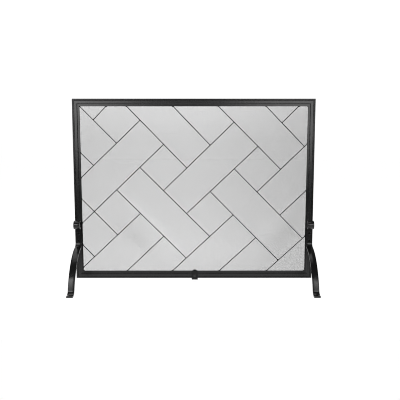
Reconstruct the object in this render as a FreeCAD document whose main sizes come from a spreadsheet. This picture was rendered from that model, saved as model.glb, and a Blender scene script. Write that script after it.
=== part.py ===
# Single-panel fireplace screen with a herringbone front.
# A mitred frame of moulded steel angle holds a sheet of woven wire.  The wire
# is clamped from behind by flat strips, thin round rods are laid over it in a
# herringbone, and the frame stands on two forged front legs and a rear foot.
# Millimetres.  +Z up, X along the frame, the hearth room side is -Y.
# The origin is on the floor, at the centre of the footprint.
import FreeCAD, Part
import math
import os
import Sketcher

V = FreeCAD.Vector
doc = FreeCAD.newDocument("FireplaceScreen")

# ---------------------------------------------------------------- dimensions
DIMS = [
    # overall frame
    ("frame_width", 990.6), ("frame_height", 745.3), ("floor_gap", 30.6),
    ("face_pos", 44.635),
    # moulded angle section
    ("rail_face", 31.0), ("rail_depth", 15.9), ("flange_back", 4.4),
    ("web_thick", 3.2), ("rim_set", 0.8), ("rim_width", 3.2),
    ("cove_set", 2.4), ("cove_start", 5.2), ("cove_end", 6.6),
    ("band_start", 9.4), ("band_end", 19.2), ("lip_start", 22.4),
    ("lip_set", 2.2), ("lip_round", 1.2), ("rim_round", 0.5),
    # woven wire sheet and the strips that clamp it
    ("mesh_thick", 0.9), ("mesh_tuck", 11.7), ("mesh_gap", 0.1),
    ("strip_width", 25.4), ("strip_thick", 2.0), ("strip_inset", 4.3),
    ("strip_butt", 0.3), ("plate_leg", 48.0), ("plate_thick", 2.0),
    ("plate_inset", 5.0), ("plate_tip", 6.0), ("plate_gap", 0.1),
    # small fasteners
    ("screw_line", 11.5), ("small_shank", 4.0), ("small_tap", 4.2),
    ("small_clear", 4.5), ("small_head", 8.0), ("small_head_high", 2.6),
    ("tap_depth", 3.2), ("tip_room", 0.2), ("cross_span", 4.2),
    ("cross_wide", 1.0), ("cross_deep", 1.4), ("plate_screw_pos", 35.0),
    ("long_screw_a", 100.0), ("long_screw_b", 260.0), ("long_screw_c", 400.0),
    ("side_screw_a", 90.0), ("side_screw_b", 250.0),
    # herringbone rods
    ("rod_dia", 3.2), ("rod_set", 2.8), ("rod_butt", 0.12), ("rod_edge", 0.15),
    # front legs: flat bar, rolled at the top, kicked out at the toe
    ("leg_width", 25.4), ("leg_thick", 6.35), ("leg_centre", 481.4),
    ("leg_clear", 0.05), ("toe_len", 6.55), ("heel_rad", 24.0),
    ("heel_turn", 73.25), ("shin_rad", 243.6), ("shin_turn", 27.25),
    ("shoulder_rad", 167.0), ("shoulder_turn", 30.4), ("bend_rad", 19.5),
    ("roll_height", 259.5), ("roll_rad_a", 15.3), ("roll_rad_b", 13.4),
    ("roll_rad_c", 9.6), ("roll_rad_d", 6.2), ("roll_end_turn", 55.0),
    ("leg_screw_low", 190.6), ("leg_screw_high", 222.6),
    # M6 hardware
    ("bolt_shank", 6.0), ("bolt_clear", 6.4), ("csk_dia", 12.0),
    ("csk_head", 10.0), ("csk_sink", 0.5), ("hex_key", 4.0), ("hex_deep", 2.0),
    ("leg_screw_end", 14.6), ("nut_flats", 10.0), ("nut_high", 5.0),
    ("nut_bore", 6.2), ("nut_gap", 0.05),
    # rear foot
    ("foot_width", 25.4), ("foot_thick", 4.0), ("foot_shift", 3.0),
    ("foot_clear", 0.05), ("foot_reach", 91.0), ("foot_flat", 4.0),
    ("foot_slope", 16.0), ("foot_rad_a", 10.0), ("foot_rad_b", 4.5),
    ("foot_top", 67.7), ("foot_top_round", 12.4), ("foot_end_round", 5.0),
    ("foot_bolt_pos", 12.0), ("dome_dia", 13.0), ("dome_high", 3.3),
    ("washer_dia", 12.5), ("washer_thick", 1.6),
    ("foot_bolt_end", 20.0),
]

# Herringbone rods as laid: ends (x, z) of each rod's centre line, then the
# rod that each end butts against (0 where it runs to the frame).
RODS = [
    (-463.9, 744.8, -316.6, 595.8, 0, 4),
    (-357.3, 744.8, -410.2, 690.5, 0, 1),
    (-272.9, 744.8, -29.1, 494.0, 0, 13),
    (-218.7, 689.1, -464.3, 455.0, 3, 0),
    (-464.3, 555.9, -412.4, 504.6, 0, 4),
    (-123.6, 591.3, -464.3, 265.5, 3, 0),
    (-464.3, 364.3, -414.3, 313.3, 0, 6),
    (-222.4, 496.8, 66.2, 208.1, 6, 19),
    (-319.9, 403.6, -32.4, 115.4, 6, 19),
    (-222.2, 305.7, -464.3, 77.3, 9, 0),
    (-464.3, 171.3, -417.3, 121.6, 0, 10),
    (-125.9, 209.1, -280.5, 61.6, 9, 0),
    (164.7, 681.4, -126.0, 400.4, 15, 8),
    (-84.2, 744.8, 67.7, 587.6, 0, 13),
    (101.1, 744.8, 357.8, 488.7, 0, 23),
    (263.6, 582.7, -30.3, 304.7, 15, 8),
    (166.7, 491.1, 454.5, 199.9, 16, 25),
    (67.2, 397.0, 354.3, 106.6, 16, 25),
    (163.5, 299.5, -89.8, 61.6, 18, 0),
    (259.2, 202.8, 106.9, 61.6, 18, 0),
    (295.1, 744.8, 453.9, 582.1, 0, 23),
    (426.8, 744.8, 360.0, 678.4, 0, 21),
    (464.3, 592.2, 261.5, 395.2, 0, 17),
    (464.3, 400.3, 357.6, 298.0, 0, 17),
    (464.3, 209.0, 306.0, 61.6, 0, 0),
    (-414.3, 313.3, -318.9, 214.5, 6, 10),
]
for n, rod in enumerate(RODS, 1):
    for key, value in zip(("xa", "za", "xb", "zb"), rod[:4]):
        DIMS.append(("rod%02d_%s" % (n, key), value))

sheet = doc.addObject("Spreadsheet::Sheet", "Dims")
for row, (alias, value) in enumerate(DIMS, 1):
    sheet.set("A%d" % row, alias)
    sheet.set("B%d" % row, repr(value))
    sheet.setAlias("B%d" % row, alias)
doc.recompute()


class Q:
    """A length: its expression on the sheet, and its value now."""

    def __init__(self, text, value):
        self.text, self.value = text, float(value)

    def __add__(self, other):
        other = q(other)
        return Q("(%s + %s)" % (self.text, other.text), self.value + other.value)

    def __radd__(self, other):
        return q(other) + self

    def __sub__(self, other):
        other = q(other)
        return Q("(%s - %s)" % (self.text, other.text), self.value - other.value)

    def __rsub__(self, other):
        return q(other) - self

    def __mul__(self, k):
        return Q("(%s * %r)" % (self.text, float(k)), self.value * k)

    __rmul__ = __mul__

    def __truediv__(self, k):
        return Q("(%s / %r)" % (self.text, float(k)), self.value / k)

    def __neg__(self):
        return Q("(0 - %s)" % self.text, -self.value)


def q(x):
    return x if isinstance(x, Q) else Q(repr(float(x)), x)


class Sizes:
    """Sizes by name, read from the sheet."""

    def __getattr__(self, name):
        return Q("Dims." + name, float(sheet.get(name)))


D = Sizes()


# ------------------------------------------------------------------- helpers
def origin_plane(body, role):
    for item in body.Origin.OriginFeatures:
        if item.Role == role:
            return item
    raise ValueError(role)


def new_body(label):
    body = doc.addObject("PartDesign::Body", label)
    body.Label = label
    return body


def new_sketch(body, name, role, lift=None):
    """A sketch on one of the body's origin planes, lifted along its normal."""
    sk = body.newObject("Sketcher::SketchObject", name)
    sk.AttachmentSupport = [(origin_plane(body, role), "")]
    sk.MapMode = "FlatFace"
    if lift is not None:
        lift = q(lift)
        sk.AttachmentOffset = FreeCAD.Placement(V(0, 0, lift.value), FreeCAD.Rotation())
        sk.setExpression("AttachmentOffset.Base.z", lift.text)
    return sk


def pin(sk, geo, pos, x, y):
    """Hold a point of the sketch at (x, y), both bound to the sheet."""
    for kind, val, axis in (("DistanceX", q(x), -2), ("DistanceY", q(y), -1)):
        if abs(val.value) < 1e-9:
            sk.addConstraint(Sketcher.Constraint("PointOnObject", geo, pos, axis))
        else:
            k = sk.addConstraint(Sketcher.Constraint(kind, -1, 1, geo, pos, val.value))
            sk.setExpression("Constraints[%d]" % k, val.text)


def polygon(sk, pts):
    first = sk.GeometryCount
    n = len(pts)
    for i in range(n):
        a, b = pts[i], pts[(i + 1) % n]
        sk.addGeometry(Part.LineSegment(V(q(a[0]).value, q(a[1]).value, 0),
                                        V(q(b[0]).value, q(b[1]).value, 0)), False)
    for i in range(n):
        sk.addConstraint(Sketcher.Constraint("Coincident", first + i, 2, first + (i + 1) % n, 1))
    for i in range(n):
        pin(sk, first + i, 1, pts[i][0], pts[i][1])
    return first


def circle(sk, x, y, dia):
    x, y, dia = q(x), q(y), q(dia)
    g = sk.addGeometry(Part.Circle(V(x.value, y.value, 0), V(0, 0, 1), dia.value / 2), False)
    pin(sk, g, 3, x, y)
    k = sk.addConstraint(Sketcher.Constraint("Diameter", g, dia.value))
    sk.setExpression("Constraints[%d]" % k, dia.text)
    return g


def pad(body, sk, length, name, toward=None, middle=False):
    """Pad a sketch; toward is the world axis sign check ('+Y', '-Y', '+Z')."""
    f = body.newObject("PartDesign::Pad", name)
    f.Profile = sk
    length = q(length)
    f.Length = length.value
    f.setExpression("Length", length.text)
    if middle:
        f.Midplane = True
    doc.recompute()
    if toward and not middle:
        axis = {"X": 0, "Y": 1, "Z": 2}[toward[1]]
        sign = 1 if toward[0] == "+" else -1
        if (f.Shape.BoundBox.Center[axis] - sk.Shape.BoundBox.Center[axis]) * sign < 0:
            f.Reversed = True
            doc.recompute()
    return f


def cut(body, sk, name, length=None, flip=None, middle=False):
    """Pocket a sketch, turned round if it would cut nothing."""
    before = body.Shape.Volume
    f = body.newObject("PartDesign::Pocket", name)
    f.Profile = sk
    if length is None:
        f.Type = "ThroughAll"
    else:
        length = q(length)
        f.Length = length.value
        f.setExpression("Length", length.text)
    if middle:
        f.Midplane = True
    doc.recompute()
    if not middle and before - f.Shape.Volume < 1e-3:
        f.Reversed = not f.Reversed
        doc.recompute()
    if flip is not None and not middle and flip(f):
        f.Reversed = not f.Reversed
        doc.recompute()
    if before - f.Shape.Volume < 1e-3:
        raise RuntimeError("%s cuts nothing" % name)
    return f


def revolve(body, sk, axis_geo, name, groove=False):
    before = body.Shape.Volume if groove else 0.0
    f = body.newObject("PartDesign::Groove" if groove else "PartDesign::Revolution", name)
    f.Profile = sk
    f.ReferenceAxis = (sk, [axis_geo])
    f.Angle = 360.0
    doc.recompute()
    if groove and before - f.Shape.Volume < 1e-3:
        raise RuntimeError("%s cuts nothing" % name)
    return f


def place(obj, x, y, z, axis=None, angle=0.0):
    rot = FreeCAD.Rotation(axis, angle) if axis else FreeCAD.Rotation()
    obj.Placement = FreeCAD.Placement(V(q(x).value, q(y).value, q(z).value), rot)
    for key, val in (("x", x), ("y", y), ("z", z)):
        if isinstance(val, Q):
            obj.setExpression("Placement.Base.%s" % key, val.text)


YAX = V(0, 1, 0)
HALF_W, HALF_H = D.frame_width / 2, D.frame_height / 2
MID_Z = D.floor_gap + HALF_H
TOP_Z = D.floor_gap + D.frame_height


# --------------------------------------------------------------------- rails
def make_rail(label, length, taps, throughs):
    """A mitred length of moulded angle.  Local X runs along it, local Z points
    to its outer edge (z = 0), and its face is at y = 0."""
    body = new_body(label)
    sk = new_sketch(body, label + "_section", "YZ_Plane")
    polygon(sk, [
        (D.rim_set + D.rim_round, 0.0),
        (D.rim_set, -D.rim_round),
        (D.rim_set, -D.rim_width),
        (D.cove_set, -D.cove_start),
        (D.cove_set, -D.cove_end),
        (0.0, -D.band_start),
        (0.0, -D.band_end),
        (D.lip_set, -D.lip_start),
        (D.lip_set, -(D.rail_face - D.lip_round)),
        (D.lip_set + D.lip_round * 0.7, -D.rail_face),
        (D.flange_back, -D.rail_face),
        (D.flange_back, -D.web_thick),
        (D.rail_depth, -D.web_thick),
        (D.rail_depth, 0.0),
    ])
    pad(body, sk, length, label + "_length", middle=True)
    mitre = new_sketch(body, label + "_mitre", "XZ_Plane")
    half = length / 2
    low = D.rail_face + 2.0
    for s in (1, -1):
        polygon(mitre, [(s * (half + 1.0), 1.0), (s * (half + 1.0), -low), (s * (half - low), -low)])
    cut(body, mitre, label + "_mitre_cut", middle=True)
    if throughs:
        sk = new_sketch(body, label + "_bolts", "XZ_Plane")
        for u, v, dia in throughs:
            circle(sk, u, -v, dia)
        cut(body, sk, label + "_bolt_holes", middle=True)
    # blind tapped holes from the back of the flange
    sk = new_sketch(body, label + "_taps", "XZ_Plane", lift=-D.flange_back)
    for u in taps:
        circle(sk, u, -D.screw_line, D.small_tap)
    before = body.Shape.Volume
    f = cut(body, sk, label + "_tapped_holes", length=D.tap_depth)
    want = len(taps) * math.pi * (D.small_tap.value / 2) ** 2 * D.tap_depth.value
    if abs(before - f.Shape.Volume - want) > 0.02 * want:
        raise RuntimeError("%s: tapped holes cut %.2f, expected %.2f"
                           % (label, before - f.Shape.Volume, want))
    return body


LONG_TAPS = [s * u for u in (D.long_screw_a, D.long_screw_b, D.long_screw_c,
                             HALF_W - D.plate_screw_pos) for s in (1, -1)]
SIDE_TAPS = [s * u for u in (D.side_screw_a, D.side_screw_b,
                             HALF_H - D.plate_screw_pos) for s in (1, -1)]
LEG_V = HALF_W - D.leg_centre
LEG_LOW, LEG_HIGH = D.leg_screw_low - MID_Z, D.leg_screw_high - MID_Z

top_rail = make_rail("top_rail", D.frame_width, LONG_TAPS, [])
place(top_rail, 0, D.face_pos, TOP_Z)
bottom_rail = make_rail("bottom_rail", D.frame_width, LONG_TAPS,
                        [(-D.foot_shift, D.foot_bolt_pos, D.bolt_clear)])
place(bottom_rail, 0, D.face_pos, D.floor_gap, YAX, 180.0)
left_stile = make_rail("left_stile", D.frame_height, SIDE_TAPS,
                       [(LEG_LOW, LEG_V, D.bolt_clear), (LEG_HIGH, LEG_V, D.bolt_clear)])
place(left_stile, -HALF_W, D.face_pos, MID_Z, YAX, -90.0)
right_stile = make_rail("right_stile", D.frame_height, SIDE_TAPS,
                        [(-LEG_LOW, LEG_V, D.bolt_clear), (-LEG_HIGH, LEG_V, D.bolt_clear)])
place(right_stile, HALF_W, D.face_pos, MID_Z, YAX, 90.0)


# ---------------------------------------------------- flat pieces in the frame
def make_flat(label, outline, holes, thick, y):
    """A flat piece lying in the frame, in the frame's own X and Z."""
    body = new_body(label)
    sk = new_sketch(body, label + "_outline", "XZ_Plane")
    polygon(sk, outline)
    for x, z, dia in holes:
        circle(sk, x, z, dia)
    pad(body, sk, thick, label + "_sheet", toward="+Y")
    place(body, 0, y, MID_Z)
    return body


MESH_BACK = D.flange_back + D.mesh_gap
mesh_x = HALF_W - D.rail_face + D.mesh_tuck
mesh_z = HALF_H - D.rail_face + D.mesh_tuck
mesh_panel = make_flat("mesh_panel",
                       [(-mesh_x, -mesh_z), (mesh_x, -mesh_z), (mesh_x, mesh_z), (-mesh_x, mesh_z)],
                       [], D.mesh_thick, D.face_pos + MESH_BACK)

STRIP_Y = MESH_BACK + D.mesh_thick + D.mesh_gap
s_out_x, s_out_z = HALF_W - D.strip_inset, HALF_H - D.strip_inset
s_in_x, s_in_z = s_out_x - D.strip_width, s_out_z - D.strip_width
scr_x, scr_z = HALF_W - D.screw_line, HALF_H - D.screw_line
long_us = [s * u for u in (D.long_screw_a, D.long_screw_b, D.long_screw_c,
                           HALF_W - D.plate_screw_pos) for s in (1, -1)]
side_us = [s * u for u in (D.side_screw_a, D.side_screw_b,
                           HALF_H - D.plate_screw_pos) for s in (1, -1)]
strips = []
for label, sgn in (("top_mesh_strip", 1), ("bottom_mesh_strip", -1)):
    a, b = sgn * s_in_z, sgn * s_out_z
    holes = [(u, sgn * scr_z, D.small_clear) for u in long_us]
    if sgn < 0:
        holes.append((D.foot_shift, -(HALF_H - D.foot_bolt_pos), D.bolt_clear))
    strips.append(make_flat(label, [(-s_out_x, a), (s_out_x, a), (s_out_x, b), (-s_out_x, b)],
                            holes, D.strip_thick, D.face_pos + STRIP_Y))
for label, sgn in (("left_mesh_strip", -1), ("right_mesh_strip", 1)):
    a, b = sgn * s_in_x, sgn * s_out_x
    zt = s_in_z - D.strip_butt
    holes = [(sgn * scr_x, u, D.small_clear) for u in side_us]
    holes += [(sgn * D.leg_centre, LEG_LOW, D.bolt_clear), (sgn * D.leg_centre, LEG_HIGH, D.bolt_clear)]
    strips.append(make_flat(label, [(a, -zt), (b, -zt), (b, zt), (a, zt)],
                            holes, D.strip_thick, D.face_pos + STRIP_Y))

PLATE_Y = STRIP_Y + D.strip_thick + D.plate_gap
plates = []
for label, sx, sz in (("corner_plate_top_left", -1, 1), ("corner_plate_top_right", 1, 1),
                      ("corner_plate_bottom_left", -1, -1), ("corner_plate_bottom_right", 1, -1)):
    ox, oz = HALF_W - D.plate_inset, HALF_H - D.plate_inset
    leg, tip = D.plate_leg, D.plate_tip
    plates.append(make_flat(label, [
        (sx * ox, sz * oz),
        (sx * (ox - leg), sz * oz),
        (sx * (ox - leg), sz * (oz - tip)),
        (sx * (ox - tip), sz * (oz - leg)),
        (sx * ox, sz * (oz - leg)),
    ], [(sx * (HALF_W - D.plate_screw_pos), sz * scr_z, D.small_clear),
        (sx * scr_x, sz * (HALF_H - D.plate_screw_pos), D.small_clear)],
        D.plate_thick, D.face_pos + PLATE_Y))


# ---------------------------------------------------------- herringbone rods
gauge = doc.addObject("Part::Box", "opening_gauge")
in_x = HALF_W - D.rail_face - D.rod_edge
in_z = HALF_H - D.rail_face - D.rod_edge
for prop, val in (("Length", 2 * in_x), ("Width", D.flange_back + 2.0), ("Height", 2 * in_z)):
    setattr(gauge, prop, val.value)
    gauge.setExpression(prop, val.text)
place(gauge, -in_x, D.face_pos - 1.0, MID_Z - in_z)

rods = []
for n, (xa, za, xb, zb, ja, jb) in enumerate(RODS, 1):
    label = "herringbone_rod_%02d" % n
    xa, za, xb, zb = [float(sheet.get("rod%02d_%s" % (n, k))) for k in ("xa", "za", "xb", "zb")]
    run = math.hypot(xb - xa, zb - za)
    back_off = D.rod_dia.value / 2 + D.rod_butt.value
    # an end at the frame runs on and is trimmed, one at a rod stops at its side
    lead = -back_off if ja else 5.0
    tail = -back_off if jb else 5.0
    dx, dz = (xb - xa) / run, (zb - za) / run
    rod = doc.addObject("Part::Cylinder", label + "_bar")
    rod.Radius = D.rod_dia.value / 2
    rod.setExpression("Radius", (D.rod_dia / 2).text)
    p = "Dims.rod%02d_" % n
    length_text = "sqrt((%sxb - %sxa) ^ 2 + (%szb - %sza) ^ 2)" % (p, p, p, p)
    if ja and jb:
        rod.Label = label
    rod.Height = run + lead + tail
    rod.setExpression("Height", "%s + %r - %r * (Dims.rod_dia / 2 + Dims.rod_butt)"
                      % (length_text, 5.0 * ((not ja) + (not jb)), float(bool(ja) + bool(jb))))
    rod.Placement = FreeCAD.Placement(
        V(xa - dx * lead, D.face_pos.value + D.rod_set.value, za - dz * lead),
        FreeCAD.Rotation(V(0, 0, 1), V(dx, 0, dz)))
    rod.setExpression("Placement.Base.y", (D.face_pos + D.rod_set).text)
    if ja and jb:
        rods.append(rod)
        continue
    trimmed = doc.addObject("Part::MultiCommon", label)
    trimmed.Shapes = [rod, gauge]
    trimmed.Label = label
    rods.append(trimmed)


# ---------------------------------------------------------------- bent bars
def bent_path(sk, start, heading, steps):
    """Straight runs and tangent arcs, end to end.  Each step is ("run", length)
    or ("arc", radius, turn in degrees); a positive turn is to the left."""
    x, y = q(start[0]).value, q(start[1]).value
    a = math.radians(heading)
    last = None
    for step in steps:
        if step[0] == "run":
            length = q(step[1])
            nx, ny = x + length.value * math.cos(a), y + length.value * math.sin(a)
            g = sk.addGeometry(Part.LineSegment(V(x, y, 0), V(nx, ny, 0)), False)
            ends = (1, 2)
            k = sk.addConstraint(Sketcher.Constraint("Distance", g, length.value))
            sk.setExpression("Constraints[%d]" % k, length.text)
        else:
            rad, turn = q(step[1]), q(step[2])
            left = turn.value > 0
            sweep = math.radians(abs(turn.value))
            side = 1 if left else -1
            cx, cy = x - side * rad.value * math.sin(a), y + side * rad.value * math.cos(a)
            a0 = math.atan2(y - cy, x - cx)
            a1 = a0 + side * sweep
            lo, hi = (a0, a1) if left else (a1, a0)
            arc = Part.ArcOfCircle(Part.Circle(V(cx, cy, 0), V(0, 0, 1), rad.value), lo, hi)
            g = sk.addGeometry(arc, False)
            ends = (1, 2) if left else (2, 1)
            nx, ny = cx + rad.value * math.cos(a1), cy + rad.value * math.sin(a1)
            a += side * sweep
            k = sk.addConstraint(Sketcher.Constraint("Radius", g, rad.value))
            sk.setExpression("Constraints[%d]" % k, rad.text)
            k = sk.addConstraint(Sketcher.Constraint("Angle", g, sweep))
            sk.setExpression("Constraints[%d]" % k,
                             "(%s) * 1 deg" % (turn.text if left else (-turn).text))
        if last is None:
            pin(sk, g, ends[0], start[0], start[1])
            if step[0] == "run" and abs(math.sin(a)) < 1e-9:
                sk.addConstraint(Sketcher.Constraint("Horizontal", g))
        else:
            sk.addConstraint(Sketcher.Constraint("Tangent", last[0], last[1], g, ends[0]))
        last = (g, ends[1])
        x, y = nx, ny
    return x, y


def path_end(start, heading, steps):
    x, y = start
    a = math.radians(heading)
    total = 0.0
    for step in steps:
        if step[0] == "run":
            n = q(step[1]).value
            x, y = x + n * math.cos(a), y + n * math.sin(a)
            total += n
        else:
            rad, turn = q(step[1]).value, q(step[2]).value
            side = 1 if turn > 0 else -1
            cx, cy = x - side * rad * math.sin(a), y + side * rad * math.cos(a)
            a += math.radians(turn)
            x, y = cx + side * rad * math.sin(a), cy - side * rad * math.cos(a)
            total += rad * abs(math.radians(turn))
    return x, y, math.degrees(a), total


def bar_section(body, name, width, thick):
    sk = new_sketch(body, name, "XZ_Plane")
    polygon(sk, [(-width / 2, 0.0), (width / 2, 0.0), (width / 2, thick), (-width / 2, thick)])
    return sk


def swept_bar(body, label, width, thick, heading, steps):
    # the path starts half the bar's thickness above the floor
    path = new_sketch(body, label + "_path", "YZ_Plane")
    start = (0.0, thick.value / 2)
    bent_path(path, (0.0, thick / 2), heading, steps)
    section = bar_section(body, label + "_section", width, thick)
    doc.recompute()
    f = body.newObject("PartDesign::AdditivePipe", label + "_bar")
    f.Profile = section
    f.Spine = (path, [])
    doc.recompute()
    want = width.value * thick.value * path_end(start, heading, steps)[3]
    if abs(f.Shape.Volume - want) > 0.01 * want:
        raise RuntimeError("%s: swept volume %.0f, expected %.0f" % (label, f.Shape.Volume, want))
    return f


# front legs, from the toe to the rolled end
bend_turn = 90.0 - (D.heel_turn - D.shin_turn - D.shoulder_turn)
leg_lower = [
    ("run", D.toe_len),
    ("arc", D.heel_rad, D.heel_turn),
    ("arc", D.shin_rad, -D.shin_turn),
    ("arc", D.shoulder_rad, -D.shoulder_turn),
    ("arc", D.bend_rad, bend_turn),
]
leg_y, leg_z, _, _ = path_end((0.0, D.leg_thick.value / 2), 0.0, leg_lower)
straight = D.roll_height - leg_z
leg_steps = leg_lower + [
    ("run", straight),
    ("arc", D.roll_rad_a, q(180.0)),
    ("arc", D.roll_rad_b, q(90.0)),
    ("arc", D.roll_rad_c, q(90.0)),
    ("arc", D.roll_rad_d, D.roll_end_turn),
]
# the bar's back lies on the frame's face
TOE_Y = D.face_pos - D.leg_clear - D.leg_thick / 2 - leg_y


def make_leg(label, sign):
    body = new_body(label)
    swept_bar(body, label, D.leg_width, D.leg_thick, 0.0, leg_steps)
    # two countersunk holes through the straight stretch
    front = leg_y - D.leg_thick.value / 2
    for n, zc in enumerate((D.leg_screw_low, D.leg_screw_high), 1):
        sk = new_sketch(body, "%s_screw_%d" % (label, n), "YZ_Plane")
        r0, r1 = D.csk_dia / 2, D.bolt_clear / 2
        polygon(sk, [
            (q(front) - 0.5, zc),
            (q(front) - 0.5, zc + r0),
            (q(front) + 0.0, zc + r0),
            (q(front) + r0 - r1, zc + r1),
            (q(front) + D.leg_thick + 0.5, zc + r1),
            (q(front) + D.leg_thick + 0.5, zc),
        ])
        revolve(body, sk, "Edge6", "%s_countersink_%d" % (label, n), groove=True)
    place(body, sign * D.leg_centre, TOE_Y, 0.0)
    return body


left_leg = make_leg("left_leg", -1)
right_leg = make_leg("right_leg", 1)

# rear foot, from its end on the floor forward under the bottom rail and up its face
foot_bend = 90.0 - D.foot_slope
arc_a_run = D.foot_rad_a.value * math.sin(math.radians(D.foot_slope.value))
arc_b_run = D.foot_rad_b.value * (1 - math.sin(math.radians(D.foot_slope.value)))
reach = (D.foot_reach.value + D.foot_clear.value + D.foot_thick.value / 2
         - D.foot_flat.value - arc_a_run - arc_b_run)
strut = reach / math.cos(math.radians(D.foot_slope.value))
foot_lower = [
    ("run", D.foot_flat),
    ("arc", D.foot_rad_a, -D.foot_slope),
    ("run", q(strut)),
    ("arc", D.foot_rad_b, -foot_bend),
]
foot_y, foot_z, _, _ = path_end((0.0, D.foot_thick.value / 2), 180.0, foot_lower)
foot_steps = foot_lower + [("run", D.foot_top - foot_z)]
rear_foot = new_body("rear_foot")
swept_bar(rear_foot, "rear_foot", D.foot_width, D.foot_thick, 180.0, foot_steps)
sk = new_sketch(rear_foot, "rear_foot_bolt_sketch", "XZ_Plane")
circle(sk, 0.0, D.floor_gap + D.foot_bolt_pos, D.bolt_clear)
cut(rear_foot, sk, "rear_foot_bolt_hole", middle=True)


def round_edges(body, base, name, radius, keep):
    names = []
    for i, e in enumerate(base.Shape.Edges, 1):
        if e.Length < 30 and keep(e):
            names.append("Edge%d" % i)
    if not names:
        raise RuntimeError("%s: no edges" % name)
    f = body.newObject("PartDesign::Fillet", name)
    f.Base = (base, names)
    f.Radius = radius.value
    f.setExpression("Radius", radius.text)
    doc.recompute()
    return f


def corner_edge(e, axis, z=None, y=None):
    a, b = e.Vertexes[0].Point, e.Vertexes[-1].Point
    d = b - a
    if abs(abs(d[axis]) - e.Length) > 1e-4:
        return False
    m = (a + b) * 0.5
    if abs(abs(m.x) - D.foot_width.value / 2) > 1e-3:
        return False
    return (z is None or abs(m.z - z) < 1e-3) and (y is None or abs(m.y - y) < 1e-3)


f = round_edges(rear_foot, rear_foot.Tip, "rear_foot_top_round", D.foot_top_round,
                lambda e: corner_edge(e, 1, z=D.foot_top.value))
f = round_edges(rear_foot, f, "rear_foot_end_round", D.foot_end_round,
                lambda e: corner_edge(e, 2, y=0.0))
place(rear_foot, D.foot_shift, D.face_pos + D.foot_reach, 0.0)


# ---------------------------------------------------------------- fasteners
def half_turned(body, name, pts):
    """Revolve a half outline round the Y axis.  Points are (radius, y)."""
    sk = new_sketch(body, name + "_outline", "XY_Plane")
    polygon(sk, pts)
    # the last side of the outline lies on the axis
    return revolve(body, sk, "Edge%d" % len(pts), name + "_turned")


def regular_hexagon(sk, flats):
    r = flats / math.sqrt(3)
    polygon(sk, [(r * math.cos(math.radians(60 * i)), r * math.sin(math.radians(60 * i)))
                 for i in range(6)])


def pan_screw(label, length):
    """Pan head at y > 0, shank running to -length.  A cross recess."""
    body = new_body(label)
    r, h = D.small_head / 2, D.small_head_high
    half_turned(body, label, [
        (0.0, -length), (D.small_shank / 2 - 0.4, -length), (D.small_shank / 2, -length + 0.5),
        (D.small_shank / 2, 0.0), (r, 0.0), (r, h * 0.45), (r * 0.9, h * 0.75), (r * 0.6, h * 0.95),
        (r * 0.3, h), (0.0, h)])
    sk = new_sketch(body, label + "_cross", "XZ_Plane", lift=-(h + 0.2))
    a, b = D.cross_span / 2, D.cross_wide / 2
    polygon(sk, [(a, -b), (a, b), (b, b), (b, a), (-b, a), (-b, b),
                 (-a, b), (-a, -b), (-b, -b), (-b, -a), (b, -a), (b, -b)])
    cut(body, sk, label + "_recess", length=D.cross_deep + 0.2)
    return body


def group(label, master, spots):
    """Copies of one fastener, as separate solids."""
    solids = []
    for x, y, z in spots:
        s = master.Shape.copy()
        s.Placement = FreeCAD.Placement(V(q(x).value, q(y).value, q(z).value), FreeCAD.Rotation())
        solids.append(s)
    obj = doc.addObject("Part::Feature", label)
    obj.Label = label
    obj.Shape = Part.makeCompound(solids)
    obj.Placement = FreeCAD.Placement()
    return obj


strip_screw = pan_screw("strip_screw_master",
                        STRIP_Y + D.strip_thick - D.flange_back + D.tap_depth - D.tip_room)
plate_screw = pan_screw("plate_screw_master",
                        PLATE_Y + D.plate_thick - D.flange_back + D.tap_depth - D.tip_room)
back_strip = D.face_pos + STRIP_Y + D.strip_thick
back_plate = D.face_pos + PLATE_Y + D.plate_thick
spots = [(u, back_strip, MID_Z + s * scr_z) for s in (1, -1) for u in long_us[:6]]
spots += [(s * scr_x, back_strip, MID_Z + u) for s in (1, -1) for u in side_us[:4]]
mesh_strip_screws = group("mesh_strip_screws", strip_screw, spots)
spots = [(u, back_plate, MID_Z + s * scr_z) for s in (1, -1) for u in long_us[6:]]
spots += [(s * scr_x, back_plate, MID_Z + u) for s in (1, -1) for u in side_us[4:]]
corner_plate_screws = group("corner_plate_screws", plate_screw, spots)

# countersunk socket screws for the legs: head face at y = 0, shank along +Y
leg_screw = new_body("leg_screw_master")
leg_front = D.face_pos - D.leg_clear - D.leg_thick
screw_len = D.leg_screw_end + D.leg_thick + D.leg_clear - D.csk_sink
rs, rh = D.bolt_shank / 2, D.csk_head / 2
half_turned(leg_screw, "leg_screw_master", [
    (0.0, 0.0), (rh, 0.0), (rh, 0.3), (rs, rh - rs + 0.3), (rs, screw_len - 0.6),
    (rs - 0.6, screw_len), (0.0, screw_len)])
sk = new_sketch(leg_screw, "leg_screw_socket", "XZ_Plane")
regular_hexagon(sk, D.hex_key)
cut(leg_screw, sk, "leg_screw_socket_cut", length=D.hex_deep)
leg_screws = group("leg_screws", leg_screw,
                   [(s * D.leg_centre, leg_front + D.csk_sink, z)
                    for s in (-1, 1) for z in (D.leg_screw_low, D.leg_screw_high)])


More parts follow.
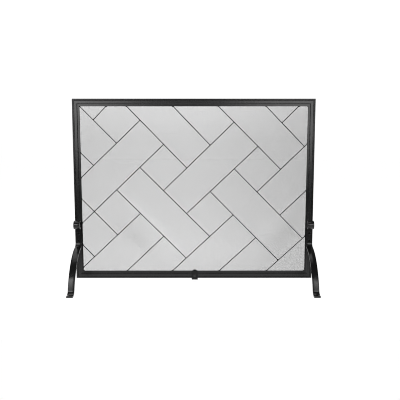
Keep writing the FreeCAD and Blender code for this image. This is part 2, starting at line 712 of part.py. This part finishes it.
def hex_nut(label):
    """A hexagon nut, y from 0 to its height, with chamfered corners."""
    body = new_body(label)
    sk = new_sketch(body, label + "_hexagon", "XZ_Plane")
    regular_hexagon(sk, D.nut_flats)
    circle(sk, 0.0, 0.0, D.nut_bore)
    pad(body, sk, D.nut_high, label + "_height", toward="+Y")
    sk = new_sketch(body, label + "_chamfer", "XY_Plane")
    rc, rf = D.nut_flats / math.sqrt(3) + 0.2, D.nut_flats / 2
    polygon(sk, [(rf, D.nut_high), (rc, D.nut_high - 0.6), (rc, D.nut_high + 0.5),
                 (rf, D.nut_high + 0.5)])
    g = sk.addGeometry(Part.LineSegment(V(0, 0, 0), V(0, 5, 0)), True)
    sk.addConstraint(Sketcher.Constraint("Coincident", -1, 1, g, 1))
    sk.addConstraint(Sketcher.Constraint("Vertical", g))
    k = sk.addConstraint(Sketcher.Constraint("Distance", g, 5.0))
    before = body.Shape.Volume
    f = body.newObject("PartDesign::Groove", label + "_chamfer_cut")
    f.Profile = sk
    f.ReferenceAxis = (sk, ["V_Axis"])
    f.Angle = 360.0
    doc.recompute()
    if before - f.Shape.Volume < 0.1:
        raise RuntimeError(label + " chamfer cuts nothing")
    return body


nut = hex_nut("nut_master")
leg_nuts = group("leg_nuts", nut, [(s * D.leg_centre, back_strip + D.nut_gap, z)
                                   for s in (-1, 1) for z in (D.leg_screw_low, D.leg_screw_high)])

# rear foot hardware on one axis
bolt_x, bolt_z = D.foot_shift, D.floor_gap + D.foot_bolt_pos
rear_foot_bolt = new_body("rear_foot_bolt")
rd, hd = D.dome_dia / 2, D.dome_high
bl = D.foot_bolt_end
half_turned(rear_foot_bolt, "rear_foot_bolt", [
    (0.0, -hd), (rd * 0.34, -(hd * 0.94)), (rd * 0.64, -(hd * 0.77)), (rd * 0.86, -(hd * 0.5)),
    (rd, -(hd * 0.12)), (rd, 0.0), (rs, 0.0), (rs, bl - 0.6), (rs - 0.6, bl), (0.0, bl)])
place(rear_foot_bolt, bolt_x, D.face_pos - D.foot_clear - D.foot_thick - 0.02, bolt_z)


def ring(label, outer, inner, high, y):
    body = new_body(label)
    sk = new_sketch(body, label + "_ring", "XZ_Plane")
    circle(sk, 0.0, 0.0, outer)
    circle(sk, 0.0, 0.0, inner)
    pad(body, sk, high, label + "_height", toward="+Y")
    place(body, bolt_x, y, bolt_z)
    return body


washer_y = STRIP_Y + D.strip_thick + D.nut_gap
rear_foot_washer = ring("rear_foot_washer", D.washer_dia, D.bolt_clear, D.washer_thick,
                        D.face_pos + washer_y)
rear_foot_nut = hex_nut("rear_foot_nut")
place(rear_foot_nut, bolt_x, D.face_pos + washer_y + D.washer_thick + D.nut_gap, bolt_z)

# ----------------------------------------------------------------- write out
doc.recompute()
NODES = [top_rail, bottom_rail, left_stile, right_stile, mesh_panel]
NODES += strips + plates + rods
NODES += [mesh_strip_screws, corner_plate_screws, left_leg, right_leg, leg_screws, leg_nuts,
          rear_foot, rear_foot_bolt, rear_foot_washer, rear_foot_nut]
bad = []
for obj in doc.Objects:
    if "Invalid" in obj.State or "Error" in obj.State:
        bad.append("%s %s" % (obj.Name, obj.State))
for obj in NODES:
    shape = obj.Shape
    if shape.isNull() or not shape.isValid() or not shape.Solids:
        bad.append("%s shape" % obj.Label)
if bad:
    raise RuntimeError("failed: " + "; ".join(bad))
if len({o.Label for o in NODES}) != len(NODES) or len(NODES) > 60:
    raise RuntimeError("node labels")

os.makedirs("parts", exist_ok=True)
box = FreeCAD.BoundBox()
volume = 0.0
for obj in NODES:
    obj.Shape.exportStep("parts/%s.step" % obj.Label)
    box.add(obj.Shape.BoundBox)
    volume += obj.Shape.Volume
    print("%-28s solids %2d  volume %10.1f" % (obj.Label, len(obj.Shape.Solids), obj.Shape.Volume))
print("nodes", len(NODES), "volume", round(volume, 0))
print("box x %.2f %.2f  y %.2f %.2f  z %.2f %.2f"
      % (box.XMin, box.XMax, box.YMin, box.YMax, box.ZMin, box.ZMax))
print("leg straight starts %.2f, foot upright starts %.2f, toe y %.2f"
      % (leg_z, foot_z, TOE_Y.value))
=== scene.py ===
import math

import bpy
import numpy as np
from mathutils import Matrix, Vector


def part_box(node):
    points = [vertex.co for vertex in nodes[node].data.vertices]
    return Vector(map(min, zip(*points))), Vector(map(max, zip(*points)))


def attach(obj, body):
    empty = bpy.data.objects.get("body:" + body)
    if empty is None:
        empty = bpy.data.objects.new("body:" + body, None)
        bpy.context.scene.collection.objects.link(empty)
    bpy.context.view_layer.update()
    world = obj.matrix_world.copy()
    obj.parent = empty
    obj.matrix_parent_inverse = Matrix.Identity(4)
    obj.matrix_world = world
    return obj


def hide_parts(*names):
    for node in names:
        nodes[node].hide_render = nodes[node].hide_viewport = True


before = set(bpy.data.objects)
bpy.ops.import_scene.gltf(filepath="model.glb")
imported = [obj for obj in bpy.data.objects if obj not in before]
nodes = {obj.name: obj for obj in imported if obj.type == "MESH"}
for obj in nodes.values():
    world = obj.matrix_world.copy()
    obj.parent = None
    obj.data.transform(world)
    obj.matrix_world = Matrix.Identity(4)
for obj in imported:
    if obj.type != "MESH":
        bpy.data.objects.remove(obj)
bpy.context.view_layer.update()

scene = bpy.context.scene

# --------------------------------------------------------------------------
# camera: a 46.5 mm lens (36 mm sensor), 2.13 m in front of the frame's face,
# 0.61 m up, 6.6 degrees down, nearly square on
# --------------------------------------------------------------------------
face_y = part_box("top_rail")[0][1]
cam = bpy.data.cameras.new("camera")
cam.lens = 516.92 / 400.0 * 36.0
cam.sensor_width = 36.0
cam.clip_start, cam.clip_end = 0.05, 60.0
camera = bpy.data.objects.new("camera", cam)
scene.collection.objects.link(camera)
camera.location = (0.0235, face_y - 2.1285, 0.6090)
look = Vector((math.sin(0.0009) * math.cos(0.1156), math.cos(0.0009) * math.cos(0.1156),
               -math.sin(0.1156)))
camera.rotation_euler = look.to_track_quat("-Z", "Y").to_euler()
scene.camera = camera

scene.view_settings.view_transform = "Standard"
scene.view_settings.look = "None"
scene.view_settings.exposure = 0.0
scene.view_settings.gamma = 1.0
scene.cycles.filter_width = 1.0


# --------------------------------------------------------------------------
# studio settings: name, centre, aimed at, width, height, brightness
# --------------------------------------------------------------------------
FLOOR_ALBEDO, FLOOR_GLOW, WORLD_DIM = 0.12, 0.99, 0.10
SOFTBOXES = [
    ("softbox_left", (-1.35, face_y - 2.13, 1.14), (-1.35, face_y, 1.14), 1.5, 1.28, 4.1),
    ("softbox_right", (1.21, face_y - 2.13, 1.01), (1.21, face_y, 1.01), 1.58, 1.02, 3.8),
    ("fill", (-0.09, face_y - 2.15, 1.0), (-0.09, face_y, 1.0), 0.96, 0.5, 0.75),
    ("overhead", (-0.35, face_y + 0.9, 2.3), (-0.35, face_y + 0.9, 0.0), 2.4, 2.3, 1.2),
    ("overhead_front", (-0.30, face_y - 0.46, 2.3), (-0.30, face_y - 0.46, 0.0), 2.4, 0.5, 0.6),
    ("back_left", (-1.6, face_y + 2.2, 1.5), (0.0, face_y, 0.4), 0.9, 1.1, 2.4),
    ("back_right", (1.7, face_y + 2.0, 1.2), (0.0, face_y, 0.4), 0.8, 1.0, 1.8),
]

# --------------------------------------------------------------------------
# materials
# --------------------------------------------------------------------------
def node(nt, kind, x=0, y=0, **props):
    n = nt.nodes.new(kind)
    n.location = (x, y)
    for k, v in props.items():
        setattr(n, k, v)
    return n


def painted(name, low, high, rough=(0.34, 0.46), grain=900.0, grain_depth=0.00003,
            dents=None, dust=0.0, specular=0.5):
    """Satin black paint: cloudy tone, fine orange peel, and for forged pieces
    shallow hammer marks."""
    mat = bpy.data.materials.new(name)
    mat.use_nodes = True
    nt = mat.node_tree
    nt.nodes.clear()
    out = node(nt, "ShaderNodeOutputMaterial", 900, 0)
    bsdf = node(nt, "ShaderNodeBsdfPrincipled", 600, 0)
    nt.links.new(bsdf.outputs[0], out.inputs[0])
    bsdf.inputs["Specular IOR Level"].default_value = specular
    co = node(nt, "ShaderNodeTexCoord", -1100, 0)

    cloud = node(nt, "ShaderNodeTexNoise", -850, 250)
    cloud.inputs["Scale"].default_value = 14.0
    cloud.inputs["Detail"].default_value = 4.0
    nt.links.new(co.outputs["Object"], cloud.inputs["Vector"])
    speck = node(nt, "ShaderNodeTexNoise", -850, 0)
    speck.inputs["Scale"].default_value = 420.0
    speck.inputs["Detail"].default_value = 2.0
    nt.links.new(co.outputs["Object"], speck.inputs["Vector"])
    mix = node(nt, "ShaderNodeMix", -600, 150, data_type="FLOAT")
    mix.inputs[0].default_value = 0.35
    nt.links.new(cloud.outputs["Fac"], mix.inputs[2])
    nt.links.new(speck.outputs["Fac"], mix.inputs[3])
    ramp = node(nt, "ShaderNodeValToRGB", -400, 200)
    ramp.color_ramp.elements[0].position = 0.38
    ramp.color_ramp.elements[0].color = (*low, 1.0)
    ramp.color_ramp.elements[1].position = 0.64
    ramp.color_ramp.elements[1].color = (*high, 1.0)
    nt.links.new(mix.outputs[0], ramp.inputs[0])
    colour = ramp.outputs[0]
    if dust:
        # a little ash settles on whatever faces up
        geo = node(nt, "ShaderNodeNewGeometry", -850, 480)
        sep = node(nt, "ShaderNodeSeparateXYZ", -650, 480)
        nt.links.new(geo.outputs["Normal"], sep.inputs[0])
        up = node(nt, "ShaderNodeMapRange", -450, 480)
        up.inputs["From Min"].default_value = 0.55
        up.inputs["From Max"].default_value = 1.0
        up.inputs["To Min"].default_value = 0.0
        up.inputs["To Max"].default_value = dust
        nt.links.new(sep.outputs["Z"], up.inputs["Value"])
        ash = node(nt, "ShaderNodeMix", -150, 350, data_type="RGBA")
        nt.links.new(up.outputs[0], ash.inputs[0])
        nt.links.new(colour, ash.inputs[6])
        ash.inputs[7].default_value = (0.16, 0.155, 0.15, 1.0)
        colour = ash.outputs[2]
    nt.links.new(colour, bsdf.inputs["Base Color"])

    rr = node(nt, "ShaderNodeMapRange", -400, -80)
    rr.inputs["From Min"].default_value = 0.35
    rr.inputs["From Max"].default_value = 0.68
    rr.inputs["To Min"].default_value = rough[0]
    rr.inputs["To Max"].default_value = rough[1]
    nt.links.new(mix.outputs[0], rr.inputs["Value"])
    nt.links.new(rr.outputs[0], bsdf.inputs["Roughness"])

    peel = node(nt, "ShaderNodeTexNoise", -850, -300)
    peel.inputs["Scale"].default_value = grain
    peel.inputs["Detail"].default_value = 3.0
    nt.links.new(co.outputs["Object"], peel.inputs["Vector"])
    bump = node(nt, "ShaderNodeBump", 300, -300)
    bump.inputs["Strength"].default_value = 1.0
    bump.inputs["Distance"].default_value = grain_depth
    nt.links.new(peel.outputs["Fac"], bump.inputs["Height"])
    if dents:
        scale, depth = dents
        vor = node(nt, "ShaderNodeTexVoronoi", -850, -600, feature="SMOOTH_F1")
        vor.inputs["Scale"].default_value = scale
        vor.inputs["Smoothness"].default_value = 1.0
        nt.links.new(co.outputs["Object"], vor.inputs["Vector"])
        hammer = node(nt, "ShaderNodeBump", 50, -500)
        hammer.inputs["Strength"].default_value = 1.0
        hammer.inputs["Distance"].default_value = depth
        nt.links.new(vor.outputs["Distance"], hammer.inputs["Height"])
        nt.links.new(hammer.outputs[0], bump.inputs["Normal"])
    nt.links.new(bump.outputs[0], bsdf.inputs["Normal"])
    return mat


frame_paint = painted("frame_paint", (0.0030, 0.0030, 0.0032), (0.0075, 0.0075, 0.0078),
                      rough=(0.24, 0.31), dust=0.03, specular=0.45)
leg_paint = painted("leg_paint", (0.0025, 0.0025, 0.0027), (0.0070, 0.0070, 0.0073),
                    rough=(0.17, 0.24), grain=700.0, dents=(55.0, 0.0003), dust=0.02)
rod_paint = painted("rod_paint", (0.0020, 0.0020, 0.0021), (0.0060, 0.0060, 0.0062),
                    rough=(0.38, 0.50), specular=0.25)
back_paint = painted("back_paint", (0.004, 0.004, 0.0042), (0.012, 0.012, 0.0124),
                     rough=(0.48, 0.62), dust=0.04)
# the lower shins of the legs are scuffed and duller than the rest
nt = leg_paint.node_tree
leg_bsdf = next(n for n in nt.nodes if n.type == "BSDF_PRINCIPLED")
leg_co = next(n for n in nt.nodes if n.type == "TEX_COORD")
leg_sep = node(nt, "ShaderNodeSeparateXYZ", -300, -800)
nt.links.new(leg_co.outputs["Object"], leg_sep.inputs[0])
scuff = node(nt, "ShaderNodeMapRange", -100, -800, interpolation_type="SMOOTHSTEP")
scuff.inputs["From Min"].default_value = 0.024
scuff.inputs["From Max"].default_value = 0.066
scuff.inputs["To Min"].default_value = 0.20
scuff.inputs["To Max"].default_value = 0.50
nt.links.new(leg_sep.outputs["Z"], scuff.inputs["Value"])
toe = node(nt, "ShaderNodeMapRange", -100, -1050, interpolation_type="SMOOTHSTEP")
toe.inputs["From Min"].default_value = 0.017
toe.inputs["From Max"].default_value = 0.026
toe.inputs["To Min"].default_value = 0.50
toe.inputs["To Max"].default_value = 0.0
nt.links.new(leg_sep.outputs["Z"], toe.inputs["Value"])
worn = node(nt, "ShaderNodeMath", 150, -900, operation="MAXIMUM")
nt.links.new(scuff.outputs[0], worn.inputs[0])
nt.links.new(toe.outputs[0], worn.inputs[1])
nt.links.new(worn.outputs[0], leg_bsdf.inputs["Specular IOR Level"])

foot_paint = painted("foot_paint", (0.0015, 0.0015, 0.0016), (0.0045, 0.0045, 0.0047),
                     rough=(0.42, 0.55), grain=700.0, dents=(60.0, 0.0002), dust=0.01, specular=0.3)
# leg screw heads: black oxide, made darker than the other hardware as painted shade in their countersinks
screw_shade_black = painted("screw_shade_black", (0.0008, 0.0008, 0.0008), (0.0030, 0.0030, 0.0030),
                       rough=(0.50, 0.65), grain=1500.0, grain_depth=0.00002, specular=0.12)
hardware = painted("black_oxide", (0.0020, 0.0020, 0.0021), (0.0070, 0.0068, 0.0066),
                   rough=(0.34, 0.52), grain=1500.0, grain_depth=0.00002)


def wire_finish(name, tone, rough):
    """One wire tone, black to grey, carrying painted sheen and shade; neighbouring wires differ slightly in
    tone.
    """
    mat = bpy.data.materials.new(name)
    mat.use_nodes = True
    p = mat.node_tree.nodes["Principled BSDF"]
    p.inputs["Base Color"].default_value = (tone, tone, tone * 1.02, 1.0)
    p.inputs["Roughness"].default_value = rough
    p.inputs["Specular IOR Level"].default_value = 0.5
    return mat


WIRE_TONES = [("wire_1", 0.004, 0.36), ("wire_2", 0.030, 0.42), ("wire_3", 0.060, 0.38),
              ("wire_4", 0.090, 0.44), ("wire_5", 0.130, 0.40), ("wire_6", 0.170, 0.46),
              ("wire_7", 0.220, 0.42)]
wire_mats = [wire_finish(*w) for w in WIRE_TONES]


# --------------------------------------------------------------------------
# carried-over CAD pieces: materials and softened edges
# --------------------------------------------------------------------------
def finish_cad(name, mat, bevel=None, segments=2, angle=24.0):
    ob = nodes[name]
    if not ob.material_slots:
        ob.data.materials.append(mat)
    for s in ob.material_slots:
        s.material = mat
    if bevel:
        weld = ob.modifiers.new("weld", "WELD")
        weld.merge_threshold = 0.000002
        bev = ob.modifiers.new("soft_edges", "BEVEL")
        bev.width = bevel
        bev.segments = segments
        bev.limit_method = "ANGLE"
        bev.angle_limit = math.radians(angle)
        bev.harden_normals = False


for name in nodes:
    if name in ("top_rail", "bottom_rail", "left_stile", "right_stile"):
        finish_cad(name, frame_paint, bevel=0.00035)
    elif name in ("left_leg", "right_leg"):
        finish_cad(name, leg_paint, bevel=0.0007)
    elif name == "leg_screws":
        finish_cad(name, screw_shade_black)
    elif name == "rear_foot":
        finish_cad(name, foot_paint, bevel=0.0006)
    elif name.startswith("herringbone_rod"):
        finish_cad(name, rod_paint)
    elif name.endswith("strip") or name.startswith("corner_plate_") and "screws" not in name:
        finish_cad(name, back_paint, bevel=0.0003)
    elif name != "mesh_panel":
        finish_cad(name, hardware)

# --------------------------------------------------------------------------
# weld beads: a small uneven bead where each end of each rod meets the frame
# --------------------------------------------------------------------------
def rod_ends(ob):
    p = np.empty(len(ob.data.vertices) * 3)
    ob.data.vertices.foreach_get("co", p)
    m = np.array(ob.matrix_world)
    p = p.reshape(-1, 3) @ m[:3, :3].T + m[:3, 3]
    mid = p.mean(axis=0)
    axis = np.linalg.svd(p - mid, full_matrices=False)[2][0]
    t = (p - mid) @ axis
    return [(p[t < t.min() + 0.0004].mean(axis=0), axis), (p[t > t.max() - 0.0004].mean(axis=0), -axis)]


bead_rng = np.random.default_rng(11)
RINGS, SEGS = 7, 12
th = np.linspace(0.0, math.pi, RINGS + 2)[1:-1]
ph = np.arange(SEGS) * 2 * math.pi / SEGS
ball = np.array([[math.sin(a) * math.cos(b), math.cos(a), math.sin(a) * math.sin(b)]
                 for a in th for b in ph] + [[0, 1, 0], [0, -1, 0]])
ball_faces = [[r * SEGS + s, r * SEGS + (s + 1) % SEGS, (r + 1) * SEGS + (s + 1) % SEGS, (r + 1) * SEGS + s]
              for r in range(RINGS - 1) for s in range(SEGS)]
ball_faces += [[RINGS * SEGS, (s + 1) % SEGS, s] for s in range(SEGS)]
ball_faces += [[RINGS * SEGS + 1, (RINGS - 1) * SEGS + s, (RINGS - 1) * SEGS + (s + 1) % SEGS]
               for s in range(SEGS)]
bead_verts, bead_faces = [], []
for name in sorted(nodes):
    if not name.startswith("herringbone_rod"):
        continue
    for end, inward in rod_ends(nodes[name]):
        size = bead_rng.uniform(0.0021, 0.0026)
        lump = 1.0 + 0.10 * np.sin(3.0 * ball @ bead_rng.normal(size=3) + bead_rng.uniform(0, 6))
        v = ball * lump[:, None] * np.array([size, 0.0017, size])
        # drawn out a little along the rod
        along = v @ inward
        v = v + np.outer(np.where(along > 0, along * 0.55, 0.0), inward)
        bead_faces += [[i + len(bead_verts) for i in f] for f in ball_faces]
        bead_verts += (v + end - inward * 0.0004 - np.array([0.0, 0.0003, 0.0])).tolist()
me = bpy.data.meshes.new("rod_weld_beads")
me.from_pydata(bead_verts, [], bead_faces)
me.polygons.foreach_set("use_smooth", np.ones(len(me.polygons), dtype=bool))
me.update()
me.materials.append(rod_paint)
beads = bpy.data.objects.new("rod_weld_beads", me)
scene.collection.objects.link(beads)
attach(beads, "root")

# --------------------------------------------------------------------------
# woven wire: plain weave, every wire over one and under the next
# --------------------------------------------------------------------------
lo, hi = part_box("mesh_panel")
PITCH = 0.00254                       # ten wires to the inch
WIRE = 0.000635                       # wire width, seen from the front
WEAVE = 0.00026                       # a wire's centre swings this far each way
THICK = 0.00027                       # half the wire's depth: pressed slightly flat
mid_y = (lo[1] + hi[1]) / 2
x0, x1, z0, z1 = lo[0] + 0.0008, hi[0] - 0.0008, lo[2] + 0.0008, hi[2] - 0.0008
nx = int((x1 - x0) / PITCH) + 1
nz = int((z1 - z0) / PITCH) + 1
xs = (x0 + x1) / 2 + (np.arange(nx) - (nx - 1) / 2) * PITCH
zs = (z0 + z1) / 2 + (np.arange(nz) - (nz - 1) / 2) * PITCH
rng = np.random.default_rng(7)


def slack(x, z):
    """The sheet isn't dead flat: it bellies back a little between the rods."""
    ex = np.clip((np.minimum(x - x0, x1 - x) - 0.013) / 0.07, 0, 1)
    ez = np.clip((np.minimum(z - z0, z1 - z) - 0.013) / 0.07, 0, 1)
    edge = ex * ez
    edge = edge * edge * (3 - 2 * edge)
    wave = (0.5 + 0.28 * np.sin(9.1 * x + 5.3 * z + 0.6) + 0.22 * np.sin(-13.7 * x + 8.9 * z + 2.1)
            + 0.16 * np.sin(21.0 * x + 17.0 * z) * np.sin(11.0 * z - 1.0))
    return 0.0022 * edge * np.clip(wave, 0, 1.2)


# a soft streak along a fold: painted highlight where it lightens, painted shade where it darkens
def painted_fold_mark(x, z, cx, cz, length, width, lean, amount):
    a = (x - cx) * math.cos(lean) + (z - cz) * math.sin(lean)
    b = -(x - cx) * math.sin(lean) + (z - cz) * math.cos(lean)
    return amount * np.exp(-(a / length) ** 2 - (b / width) ** 2)


def sheen_and_shade_map(x, z):
    """How much painted sheen lightens the wires, 0 to about 0.25: even in the
    middle, with painted shade darker to the sides and a few soft painted folds."""
    u, v = x / 0.45, (z - 0.40) / 0.32

    w = 0.095 - 0.11 * u - 0.14 * u * u + 0.08 * np.exp(-((z - 0.13) / 0.09) ** 2)
    w = w + 0.02 * np.sin(7.0 * x - 3.0 * z) * np.sin(5.0 * z + 1.0)
    w = w + painted_fold_mark(x, z, -0.17, 0.27, 0.14, 0.022, -0.79, 0.08)
    w = w + painted_fold_mark(x, z, -0.24, 0.19, 0.09, 0.03, -0.7, -0.08)
    w = w + painted_fold_mark(x, z, 0.31, 0.25, 0.05, 0.030, 0.9, 0.08)
    return w


def painted_shade_width(x, z):
    """Wires drawn wider toward the sides, most of all the right, and along two creases, as
    painted shade that hides more of the bright ground; narrower on the ridges beside them, as painted
    highlight."""
    u = x / 0.45
    g = 1.0 + 0.26 * np.clip(u, 0, 1) ** 1.7 + 0.04 * np.clip(-u - 0.3, 0, 1)
    g = g + painted_fold_mark(x, z, 0.385, 0.225, 0.085, 0.032, 0.86, 0.14)
    g = g + painted_fold_mark(x, z, -0.22, 0.19, 0.12, 0.030, -0.83, 0.07)
    g = g + painted_fold_mark(x, z, -0.37, 0.18, 0.15, 0.11, 0.0, 0.09)
    g = g + painted_fold_mark(x, z, 0.02, 0.09, 0.42, 0.05, 0.0, 0.06)
    g = g - painted_fold_mark(x, z, -0.175, 0.265, 0.15, 0.020, -0.79, 0.05)
    return g - painted_fold_mark(x, z, 0.305, 0.25, 0.05, 0.030, 0.86, 0.07)


def wires(name, paths, tones):
    """Smooth-shaded tubes of diamond section.  paths: (wires, points, 3)."""
    w, n, _ = paths.shape
    along = np.gradient(paths, axis=1)
    along /= np.linalg.norm(along, axis=2, keepdims=True)
    side = np.cross(along, np.array([0.0, 1.0, 0.0]))
    side /= np.linalg.norm(side, axis=2, keepdims=True)
    up = np.cross(side, along)
    # wire width carries painted shade (wider) and painted highlight (narrower)
    half = side * (WIRE / 2 * painted_shade_width(paths[..., 0], paths[..., 2]))[..., None]
    ring = np.stack([paths + half, paths + up * THICK, paths - half, paths - up * THICK], axis=2)
    verts = ring.reshape(-1, 3)
    i = (np.arange(w)[:, None, None] * n + np.arange(n - 1)[None, :, None]) * 4
    k = np.arange(4)[None, None, :]
    k2 = (k + 1) % 4
    quads = np.stack([i + k, i + k2, i + 4 + k2, i + 4 + k], axis=-1).reshape(-1, 4)
    start = (np.arange(w) * n * 4)[:, None] + np.array([3, 2, 1, 0])[None, :]
    end = (np.arange(w) * n * 4 + (n - 1) * 4)[:, None] + np.array([0, 1, 2, 3])[None, :]
    faces = np.concatenate([quads, start, end])
    slots = np.concatenate([np.repeat(tones[:, :-1].ravel(), 4), tones[:, 0], tones[:, -1]])
    me = bpy.data.meshes.new(name)
    me.vertices.add(len(verts))
    me.vertices.foreach_set("co", verts.astype(np.float32).ravel())
    me.loops.add(faces.size)
    me.loops.foreach_set("vertex_index", faces.astype(np.int32).ravel())
    me.polygons.add(len(faces))
    me.polygons.foreach_set("loop_start", np.arange(len(faces), dtype=np.int32) * 4)
    me.update(calc_edges=True)
    for m in wire_mats:
        me.materials.append(m)
    me.polygons.foreach_set("material_index", slots.astype(np.int32))
    me.polygons.foreach_set("use_smooth", np.ones(len(faces), dtype=bool))
    me.validate()
    me.update()
    ob = bpy.data.objects.new(name, me)
    scene.collection.objects.link(ob)
    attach(ob, "root")
    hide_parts("mesh_panel")
    return ob


parity = np.where((np.arange(nx)[:, None] + np.arange(nz)[None, :]) % 2 == 0, 1.0, -1.0)
X, Z = np.meshgrid(xs, zs, indexing="ij")
Y = mid_y + slack(X, Z)
upright = np.stack([X, Y + WEAVE * parity, Z], axis=-1)
level = np.stack([X, Y - WEAVE * parity, Z], axis=-1).transpose(1, 0, 2)
steps = (np.array([t[1] for t in WIRE_TONES])[1:] + np.array([t[1] for t in WIRE_TONES])[:-1]) / 2


def tone_slots(sheen_level, each):
    """Slot for every span of every wire: the local painted sheen and shade, a little
    of the wire's own tone, and enough scatter to hide the steps."""
    base = (sheen_level - 0.03) / 0.75 + each + rng.uniform(-0.02, 0.02, sheen_level.shape)
    return np.digitize(base, steps)


# painted sheen and shade across the mesh, turned into the wires' tone slots
sheen_level = sheen_and_shade_map(X, Z)
tone_x = tone_slots(sheen_level, rng.normal(0.0, 0.018, nx)[:, None])
tone_z = tone_slots(sheen_level.T, rng.normal(0.0, 0.018, nz)[:, None])
for k, part in enumerate(np.array_split(np.arange(nx), 5), 1):
    wires("mesh_upright_wires_%d" % k, upright[part], tone_x[part])
for k, part in enumerate(np.array_split(np.arange(nz), 5), 1):
    wires("mesh_level_wires_%d" % k, level[part], tone_z[part])

# --------------------------------------------------------------------------
# floor and light: a white sweep that ends in front of the screen, a pair of
# tall softboxes either side of the camera, a dim fill between them and an overhead
# --------------------------------------------------------------------------
def flat(name, x_half, y_lo, y_hi, z):
    me = bpy.data.meshes.new(name)
    me.from_pydata([(-x_half, y_lo, z), (x_half, y_lo, z), (x_half, y_hi, z), (-x_half, y_hi, z)],
                   [], [(0, 1, 2, 3)])
    ob = bpy.data.objects.new(name, me)
    scene.collection.objects.link(ob)
    return ob


def floor_finish(name, albedo, glow):
    mat = bpy.data.materials.new(name)
    mat.use_nodes = True
    p = mat.node_tree.nodes["Principled BSDF"]
    p.inputs["Base Color"].default_value = (albedo, albedo, albedo, 1.0)
    p.inputs["Roughness"].default_value = 0.9
    p.inputs["Specular IOR Level"].default_value = 0.0
    p.inputs["Emission Color"].default_value = (1, 1, 1, 1)
    p.inputs["Emission Strength"].default_value = glow
    return mat


floor = flat("floor", 12.0, face_y - 0.60, face_y + 14.0, -0.0003)
floor.data.materials.append(floor_finish("pale_floor", FLOOR_ALBEDO, FLOOR_GLOW))

world = bpy.data.worlds.new("studio")
scene.world = world
world.use_nodes = True
wn = world.node_tree
wn.nodes.clear()
wout = node(wn, "ShaderNodeOutputWorld", 600, 0)
seen = node(wn, "ShaderNodeBackground", 200, 100)
seen.inputs[0].default_value = (1, 1, 1, 1)
wco = node(wn, "ShaderNodeTexCoord", -600, 100)
wsep = node(wn, "ShaderNodeSeparateXYZ", -400, 100)
wn.links.new(wco.outputs["Generated"], wsep.inputs[0])
rise = node(wn, "ShaderNodeMapRange", -200, 100)
rise.inputs["From Min"].default_value = 0.0
rise.inputs["From Max"].default_value = 0.085
rise.inputs["To Min"].default_value = 1.005
rise.inputs["To Max"].default_value = 1.20
wn.links.new(wsep.outputs["Z"], rise.inputs["Value"])
wn.links.new(rise.outputs[0], seen.inputs[1])
dim = node(wn, "ShaderNodeBackground", 200, -100)
dim.inputs[0].default_value = (1, 1, 1, 1)
dim.inputs[1].default_value = WORLD_DIM
path = node(wn, "ShaderNodeLightPath", 0, 300)
pick = node(wn, "ShaderNodeMixShader", 400, 0)
wn.links.new(path.outputs["Is Camera Ray"], pick.inputs[0])
wn.links.new(dim.outputs[0], pick.inputs[1])
wn.links.new(seen.outputs[0], pick.inputs[2])
wn.links.new(pick.outputs[0], wout.inputs[0])


def softbox(name, centre, target, width, height, radiance):
    """A one-sided rectangular light whose face has the given brightness."""
    data = bpy.data.lights.new(name, "AREA")
    data.shape = "RECTANGLE"
    data.size, data.size_y = width, height
    data.energy = radiance * math.pi * width * height
    ob = bpy.data.objects.new(name, data)
    scene.collection.objects.link(ob)
    ob.location = centre
    ob.rotation_euler = (Vector(target) - Vector(centre)).to_track_quat("-Z", "Y").to_euler()
    ob.visible_camera = False
    return ob


for box in SOFTBOXES:
    softbox(*box)
